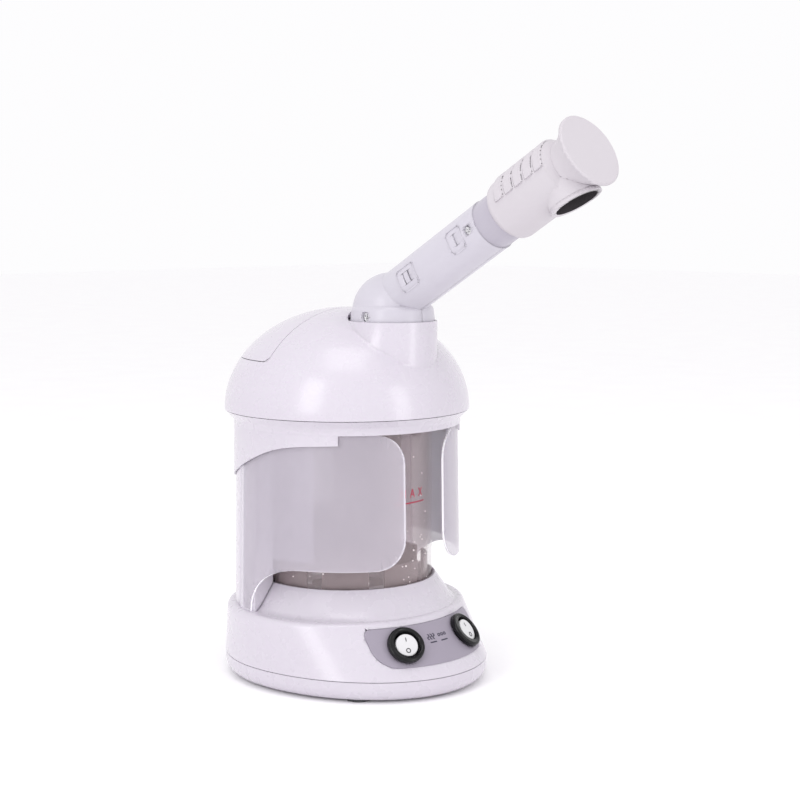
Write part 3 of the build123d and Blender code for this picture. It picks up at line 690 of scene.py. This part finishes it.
class STEAMER_OT_level_mark(bpy.types.Operator):
    """Prints the level mark on the jar"""
    bl_idname = "steamer.level_mark"
    bl_label = "Level mark"

    def execute(self, context):
        sizes = context.scene.steamer_sizes
        radius = JAR_R + sizes.ink / 2 + 0.02 * MM
        for i, letter in enumerate("MAX"):
            bpy.ops.object.select_all(action="DESELECT")
            bpy.ops.object.text_add(location=(0, 0, 0))
            text = context.active_object
            text.data.body = letter
            text.data.align_x = "CENTER"
            text.data.extrude = sizes.ink / 2
            bpy.ops.object.convert(target="MESH")
            piece = added("level_letter_" + letter.lower())
            grow = sizes.letter / piece.dimensions.y
            piece.scale = (grow * LEVEL_TEXT_STRETCH, grow, 1.0)
            settle(piece)
            angle = math.radians(LEVEL_ANGLE + i * LEVEL_PITCH)
            out = Vector((math.sin(angle), -math.cos(angle), 0))
            across = Vector((math.cos(angle), math.sin(angle), 0))
            foot = out * radius + Vector((0, 0, LEVEL_Z + LEVEL_TEXT_RISE))
            put(piece, frame_at(foot, across, (0, 0, 1)))
            only(piece)
            bpy.ops.object.mode_set(mode="EDIT")
            bpy.ops.mesh.select_all(action="SELECT")
            bpy.ops.mesh.remove_doubles(threshold=1e-6)
            bpy.ops.mesh.normals_make_consistent(inside=False)
            bpy.ops.object.mode_set(mode="OBJECT")
            done(piece, "housing", "level_ink")
        start, end = (math.radians(a) for a in LEVEL_LINE)
        line = ink_bar("level_line", LEVEL_BAR, LEVEL_BAR_H)
        only(line)
        bpy.ops.object.mode_set(mode="EDIT")
        bpy.ops.mesh.select_all(action="SELECT")
        bpy.ops.mesh.delete(type="ONLY_FACE")
        bpy.ops.mesh.select_all(action="SELECT")
        bpy.ops.mesh.edge_face_add()
        bpy.ops.transform.resize(value=(sizes.ink / LEVEL_BAR, 1, 1))
        turn = Matrix.Rotation(start, 4, "Z") @ Matrix.Translation((0, -radius, LEVEL_Z))
        bpy.ops.object.mode_set(mode="OBJECT")
        put(line, turn @ frame_at((0, 0, 0), (0, 1, 0), (0, 0, 1)))
        bpy.ops.object.mode_set(mode="EDIT")
        bpy.ops.mesh.select_all(action="SELECT")
        bpy.ops.mesh.spin(steps=LEVEL_STEPS, angle=start - end, dupli=False,
                          center=(0, 0, 0), axis=(0, 0, 1))
        bpy.ops.mesh.select_all(action="SELECT")
        bpy.ops.mesh.remove_doubles(threshold=1e-7)
        bpy.ops.mesh.normals_make_consistent(inside=False)
        bpy.ops.object.mode_set(mode="OBJECT")
        done(line, "housing", "level_ink")
        return {"FINISHED"}


class STEAMER_OT_guard(bpy.types.Operator):
    """Finishes the frosted guards, with a painted highlight glow on their cut edges"""
    bl_idname = "steamer.guard"
    bl_label = "Guard"

    def execute(self, context):
        pieces = restyle_all(("guard_left", "guard_right", "guard_liners"))
        for node in ("guard_left", "guard_right"):
            guard = pieces[node]
            # The cut-edge faces get the painted highlight glow.
            guard.data.materials.append(finish("guard_rim_painted_glow"))
            for face in guard.data.polygons:
                outward = Vector((face.center.x, face.center.y, 0)).normalized()
                if abs(face.normal.dot(outward)) < RIM_LEAN:
                    face.material_index = 1
        return {"FINISHED"}


class STEAMER_OT_switches(bpy.types.Operator):
    """Finishes the control panel and the rocker switches, with their on and off marks"""
    bl_idname = "steamer.switches"
    bl_label = "Switches"

    def execute(self, context):
        restyle_all(("control_panel", "steam_switch_body", "ozone_switch_body", "steam_rocker",
                     "ozone_rocker", "switch_terminals"))
        for name in ("steam_rocker", "ozone_rocker"):
            joint = JOINTS[name + "_press"]
            across = -Vector(joint["axis"])
            level = across.cross(Vector((0, 0, 1)))
            rise = SWITCH_RISE - ROCKER_REST
            up = Vector((0, 0, 1)) * math.cos(rise) - level * math.sin(rise)
            off = across.cross(up)
            face = frame_at(Vector(joint["pos_m"]) + off * (ROCKER_TOP + 0.01 * MM), across, up)
            on = ink_bar(name + "_on", MARK_LINE, ON_H, 0, MARK_FROM_PIVOT)
            ring = ink_arc(name + "_off", OFF_R, MARK_LINE, (2,), 0, -MARK_FROM_PIVOT, 12)
            for mark in (on, ring):
                done(printed(mark, face), name, "printed_ink")
        return {"FINISHED"}


class STEAMER_OT_pictograms(bpy.types.Operator):
    """Prints plain steam and air signs between the switches"""
    bl_idname = "steamer.pictograms"
    bl_label = "Pictograms"

    def execute(self, context):
        marks = []
        for i in range(SIGN_COUNT):
            wave_x = WAVE_FIRST + WAVE_PITCH * i
            ring_x = RING_FIRST + RING_PITCH * i
            marks.append(ink_arc(f"wave_{i}", WAVE_R, WAVE_LINE, (1, -1), wave_x))
            marks.append(ink_arc(f"ring_{i}", RING_R, RING_LINE, (2,), ring_x, RING_RISE))
        for side, length, middle in (("left", 5.0 * MM, -4.8 * MM), ("right", 5.6 * MM, 4.3 * MM)):
            marks.append(ink_bar("dash_" + side, length, DASH_H, middle, DASH_DROP))
        low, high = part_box("control_panel")
        tilt = Vector((0, math.sin(SWITCH_RISE), math.cos(SWITCH_RISE)))
        middle = (SIGNS_SHIFT, low.y - SIGNS_CLEAR, (low.z + high.z) / 2 + SIGNS_RISE)
        place = frame_at(middle, (1, 0, 0), tilt)
        panel = frame["nodes"]["control_panel"]
        signs = printed(joined("panel_signs", marks), place, panel, "Y")
        done(signs, "housing", "violet_ink")
        return {"FINISHED"}


class STEAMER_OT_arm(bpy.types.Operator):
    """Finishes the arm and cuts the cross recess in its screws"""
    bl_idname = "steamer.arm"
    bl_label = "Arm"

    def execute(self, context):
        for node in ("arm_shell_left", "arm_shell_right"):
            restyled(node, degrees=50)
        pieces = restyle_all(("arm_neck", "arm_screws", "steam_duct", "duct_collar",
                              "head_clip", "swivel_bush"))
        screws = pieces["arm_screws"]
        only(screws)
        heads = {}
        for vertex in screws.data.vertices:
            key = (vertex.co.x > 0, vertex.co.y < SCREW_SPLIT_Y)
            heads.setdefault(key, []).append(vertex.co.copy())
        cutters = []
        for points in heads.values():
            reach = max(abs(point.x) for point in points)
            rim = [point for point in points if abs(point.x) > reach - SCREW_RIM]
            middle = sum(rim, Vector()) / len(rim)
            for wide, tall in ((CROSS_L, CROSS_W), (CROSS_W, CROSS_L)):
                bpy.ops.object.select_all(action="DESELECT")
                bpy.ops.mesh.primitive_cube_add(size=1.0, location=middle)
                cutter = added("cross_cutter")
                cutter.scale = (CROSS_DEEP, wide, tall)
                cutter.rotation_euler.x = CROSS_TURN
                cutters.append(settle(cutter))
        for cutter in cutters:
            modify(screws, "BOOLEAN", operation="DIFFERENCE", object=cutter, solver="EXACT")
            bpy.data.objects.remove(cutter)
        smooth(screws, 30)
        return {"FINISHED"}


class STEAMER_OT_head(bpy.types.Operator):
    """Finishes the steam head, its grip ribs and its outlet, with painted shade on the outlet's
    bore
    """
    bl_idname = "steamer.head"
    bl_label = "Head"

    def execute(self, context):
        pieces = restyle_all(("head_shell", "head_seal", "grip_ribs", "outlet_ring",
                              "outlet_grille", "end_disk"))
        low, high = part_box("outlet_grille")
        middle = (low + high) / 2
        turn = JOINTS["head_turn"]
        axis = Vector(turn["axis"])
        reach = middle - Vector(turn["pos_m"])
        out = (reach - axis * reach.dot(axis)).normalized()
        # Painted shade: the bore faces of the outlet ring and the head shell get the dark grille
        # plastic, standing in for the shade inside the outlet's opening.
        for node in ("outlet_ring", "head_shell"):
            piece = pieces[node]
            piece.data.materials.append(finish("grille_plastic"))
            for face in piece.data.polygons:
                off = face.center - middle
                side = off - out * off.dot(out)
                if side.length < OUTLET_BORE and face.normal.dot(side) < 0 and off.dot(out) > 0:
                    face.material_index = 1
        return {"FINISHED"}


def soft_light(name, azimuth, height, distance, width, tall, power):
    """A rectangular area light that faces the object's middle."""
    light = bpy.data.lights.new(name, "AREA")
    light.shape = "RECTANGLE"
    light.size = width
    light.size_y = tall
    light.energy = power
    lamp = bpy.data.objects.new(name, light)
    bpy.context.scene.collection.objects.link(lamp)
    angle = math.radians(azimuth)
    lamp.location = (distance * math.sin(angle), -distance * math.cos(angle), height)
    aim = STUDIO_MIDDLE - lamp.location
    lamp.rotation_euler = aim.to_track_quat("-Z", "Y").to_euler()


class STEAMER_OT_stage(bpy.types.Operator):
    """Adds the table, the soft lights and the camera"""
    bl_idname = "steamer.stage"
    bl_label = "Stage"

    def execute(self, context):
        bpy.ops.object.select_all(action="DESELECT")
        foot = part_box("foot_pads")[0].z
        bpy.ops.mesh.primitive_plane_add(size=TABLE_SIZE, location=(0, 0, foot))
        table = added("table_top")
        settle(table)
        dress(table, "table_paper")
        world = bpy.data.worlds.new("studio")
        world.use_nodes = True
        sky = world.node_tree.nodes["Background"]
        sky.inputs["Color"].default_value = (0.995, 0.99, 1.0, 1)
        sky.inputs["Strength"].default_value = 0.99
        context.scene.world = world
        context.scene.view_settings.view_transform = "Standard"
        soft_light("key_soft", azimuth=-78, height=0.62, distance=1.1,
                   width=0.38, tall=0.9, power=3.6)
        soft_light("fill_soft", azimuth=8, height=0.45, distance=1.3,
                   width=0.34, tall=0.9, power=2.6)
        soft_light("top_soft", azimuth=-45, height=1.25, distance=0.35,
                   width=0.6, tall=0.6, power=2.2)
        lens = bpy.data.cameras.new("view_camera")
        lens.lens = CAMERA_LENS
        lens.sensor_width = 36.0
        camera = bpy.data.objects.new("view_camera", lens)
        camera.location = CAMERA_PLACE
        camera.rotation_euler = (math.pi / 2 - CAMERA_DIP, 0, CAMERA_TURN)
        context.scene.collection.objects.link(camera)
        context.scene.camera = camera
        return {"FINISHED"}


class STEAMER_PT_panel(bpy.types.Panel):
    """The steamer's pieces and their settings"""
    bl_label = "Facial Steamer"
    bl_idname = "STEAMER_PT_panel"
    bl_space_type = "VIEW_3D"
    bl_region_type = "UI"
    bl_category = "Steamer"

    def draw(self, context):
        for operator in OPERATORS:
            self.layout.operator(operator.bl_idname)
        for group in (context.scene.steamer_finish, context.scene.steamer_sizes):
            for name in group.bl_rna.properties.keys():
                if name not in ("rna_type", "name"):
                    self.layout.prop(group, name)


OPERATORS = (
    STEAMER_OT_finishes,
    STEAMER_OT_housing,
    STEAMER_OT_jar,
    STEAMER_OT_bubbles,
    STEAMER_OT_level_mark,
    STEAMER_OT_guard,
    STEAMER_OT_switches,
    STEAMER_OT_pictograms,
    STEAMER_OT_arm,
    STEAMER_OT_head,
    STEAMER_OT_stage,
)
CLASSES = (SteamerFinish, SteamerSizes, *OPERATORS, STEAMER_PT_panel)


def register():
    for cls in CLASSES:
        bpy.utils.register_class(cls)
    bpy.types.Scene.steamer_finish = bpy.props.PointerProperty(type=SteamerFinish)
    bpy.types.Scene.steamer_sizes = bpy.props.PointerProperty(type=SteamerSizes)


def unregister():
    del bpy.types.Scene.steamer_finish
    del bpy.types.Scene.steamer_sizes
    for cls in reversed(CLASSES):
        bpy.utils.unregister_class(cls)


def main():
    register()
    for operator in OPERATORS:
        group, name = operator.bl_idname.split(".")
        getattr(getattr(bpy.ops, group), name)()


if __name__ == "__main__":
    main()
